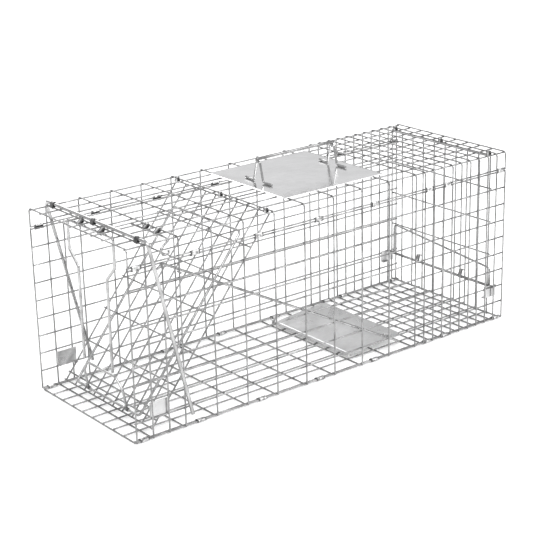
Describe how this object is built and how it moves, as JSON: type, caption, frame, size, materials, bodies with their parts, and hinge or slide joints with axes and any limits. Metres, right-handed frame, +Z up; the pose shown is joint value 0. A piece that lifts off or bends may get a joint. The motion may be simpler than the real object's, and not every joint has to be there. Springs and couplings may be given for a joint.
{
  "type": "live catch trap",
  "caption": "Welded wire cage trap with a sloping drop door, wire locks, treadle with trigger rod, guarded carrying handle and a rear door.",
  "frame": {"origin": "middle of the footprint, on the ground under the cage", "axes": "+X from the drop door to the rear door, +Y across the cage, +Z up"},
  "size_m": [0.6648, 0.2454, 0.2976],
  "materials": {
    "zinc_mesh": "bright zinc-plated welded wire, fine drawn lines and dull weld spots",
    "zinc_wire": "bright zinc-plated bent wire",
    "clip_steel": "shiny folded clip sheet, darker in the folds",
    "guard_sheet": "galvanised sheet with a soft mottled mirror finish",
    "treadle_sheet": "dull galvanised sheet with faint spangle",
    "plate_steel": "plain zinc-plated folded plate"
  },
  "bodies": {
    "cage": {"top_mesh_panel": "zinc_mesh", "floor_mesh_panel": "zinc_mesh", "side_mesh_panel_near": "zinc_mesh", "side_mesh_panel_far": "zinc_mesh", "top_seam_clips": "clip_steel", "floor_seam_clips": "clip_steel", "front_door_hinge_clips": "clip_steel", "outer_bail_clips": "clip_steel", "lock_arm_clips": "clip_steel", "treadle_pivot_rod": "zinc_wire", "treadle_tab_near": "plate_steel", "treadle_tab_far": "plate_steel", "trigger_rod_rest": "zinc_wire", "trigger_latch_clips": "clip_steel", "rear_door_hinge_clips": "clip_steel", "guard_plate": "guard_sheet", "handle_support_front": "zinc_wire", "handle_support_rear": "zinc_wire", "handle_grip_bar": "zinc_wire", "front_catch_plate_near": "plate_steel", "front_catch_plate_far": "plate_steel", "rear_catch_plate_near": "plate_steel", "rear_catch_plate_far": "plate_steel"},
    "front_door": {"front_door_mesh": "zinc_mesh", "front_door_frame": "zinc_wire"},
    "front_lock": {"front_lock_bail": "zinc_wire"},
    "lock_arms": {"lock_arm_frame": "zinc_wire"},
    "bail": {"outer_bail": "zinc_wire"},
    "treadle": {"treadle_plate": "treadle_sheet"},
    "rod": {"trigger_rod": "zinc_wire"},
    "latch": {"trigger_latch": "zinc_wire"},
    "rear_door": {"rear_door_mesh": "zinc_mesh", "rear_lock_clips": "clip_steel"},
    "rear_lock": {"rear_lock_bail": "zinc_wire"}
  },
  "joints": [
    {"name": "front_door_hinge", "type": "hinge", "parent": "cage", "child": "front_door", "pos_m": [-0.1027, 0, 0.2558], "axis": [0, 1, 0], "range_deg": [0, 43.1]},
    {"name": "lock_arm_hinge", "type": "hinge", "parent": "cage", "child": "lock_arms", "pos_m": [-0.3103, 0, 0.2549], "axis": [0, 1, 0], "range_deg": [0, 77.7]},
    {"name": "front_lock_pivot", "type": "hinge", "parent": "front_door", "child": "front_lock", "pos_m": [-0.29975, 0, 0.01646], "axis": [0, 1, 0], "range_deg": [0, 43.2]},
    {"name": "outer_bail_pivot", "type": "hinge", "parent": "cage", "child": "bail", "pos_m": [-0.3031, 0, 0.26396], "axis": [0, 1, 0], "range_deg": [0, 110]},
    {"name": "treadle_pivot", "type": "hinge", "parent": "cage", "child": "treadle", "pos_m": [0.0537, 0, 0.00726], "axis": [0, 1, 0], "range_deg": [0, 4]},
    {"name": "trigger_rod_pivot", "type": "hinge", "parent": "treadle", "child": "rod", "pos_m": [0.1263, 0, 0.01554], "axis": [0, 1, 0], "range_deg": [-3.4, 0]},
    {"name": "trigger_latch_pivot", "type": "hinge", "parent": "cage", "child": "latch", "pos_m": [-0.2603, 0, 0.2554], "axis": [0, 1, 0], "range_deg": [0, 4.9]},
    {"name": "rear_door_hinge", "type": "hinge", "parent": "cage", "child": "rear_door", "pos_m": [0.3133, 0, 0.2558], "axis": [0, -1, 0], "range_deg": [0, 80]},
    {"name": "rear_lock_slide", "type": "slide", "parent": "rear_door", "child": "rear_lock", "axis": [0, 0, 1], "range_m": [0, 0.009]}
  ],
  "couplings": [
    {"joint": "lock_arm_hinge", "follows": "front_door_hinge", "ratio": 1.8},
    {"joint": "front_lock_pivot", "follows": "front_door_hinge", "ratio": 1},
    {"joint": "trigger_rod_pivot", "follows": "treadle_pivot", "ratio": -0.819},
    {"joint": "trigger_latch_pivot", "follows": "treadle_pivot", "ratio": 1.2}
  ]
}
